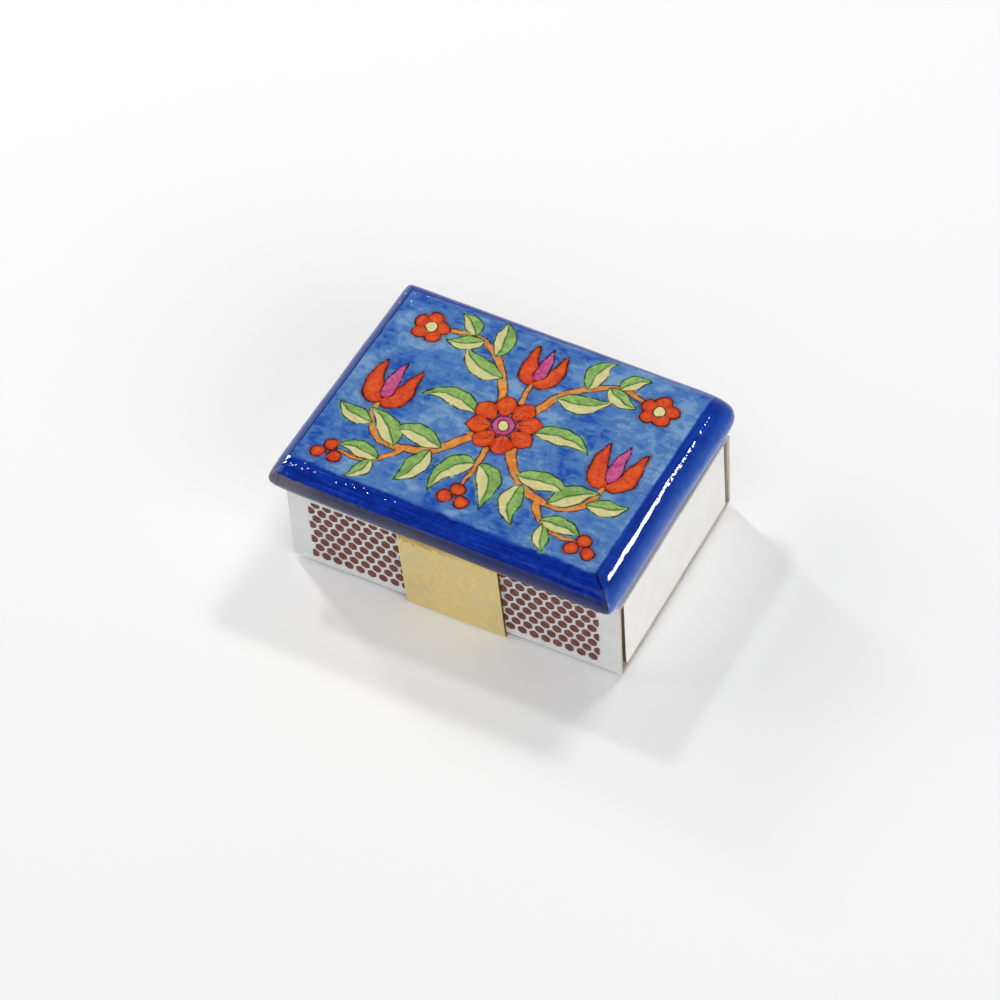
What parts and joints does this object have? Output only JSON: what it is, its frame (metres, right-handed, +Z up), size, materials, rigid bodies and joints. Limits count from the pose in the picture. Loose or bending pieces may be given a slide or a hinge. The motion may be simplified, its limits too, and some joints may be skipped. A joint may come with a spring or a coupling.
{
  "type": "matchbox holder",
  "caption": "Painted wooden cover board with a bent brass clip under it that grips a small sliding card matchbox, whose tray of matches slides out endways.",
  "frame": {"origin": "on the table, under the middle of the cover board, at the height of the clip's lips", "axes": "+X along the matchbox towards the match heads, +Y across it to the back, +Z up"},
  "size_m": [0.055, 0.042, 0.0213],
  "materials": {
    "painted_wood": "gloss",
    "clip_brass": "satin",
    "screw_brass": "satin",
    "sleeve_card": "matte",
    "tray_card": "matte",
    "striker_compound": "matte",
    "splint_wood": "matte",
    "match_head": "matte"
  },
  "bodies": {
    "holder": {"cover_board": "painted_wood", "brass_clip": "clip_brass", "clip_screws": "screw_brass"},
    "sleeve": {"matchbox_sleeve": "sleeve_card", "striker_front": "striker_compound", "striker_back": "striker_compound"},
    "tray": {"matchbox_tray": "tray_card", "match_splints_layer_1": "splint_wood", "match_heads_layer_1": "match_head", "match_splints_layer_2": "splint_wood", "match_heads_layer_2": "match_head", "match_splints_layer_3": "splint_wood", "match_heads_layer_3": "match_head"}
  },
  "joints": [
    {"name": "sleeve_slide", "type": "slide", "parent": "holder", "child": "sleeve", "axis": [1, 0, 0], "range_m": [-0.058, 0.058]},
    {"name": "tray_slide", "type": "slide", "parent": "sleeve", "child": "tray", "axis": [1, 0, 0], "range_m": [-0.04, 0.04]}
  ]
}
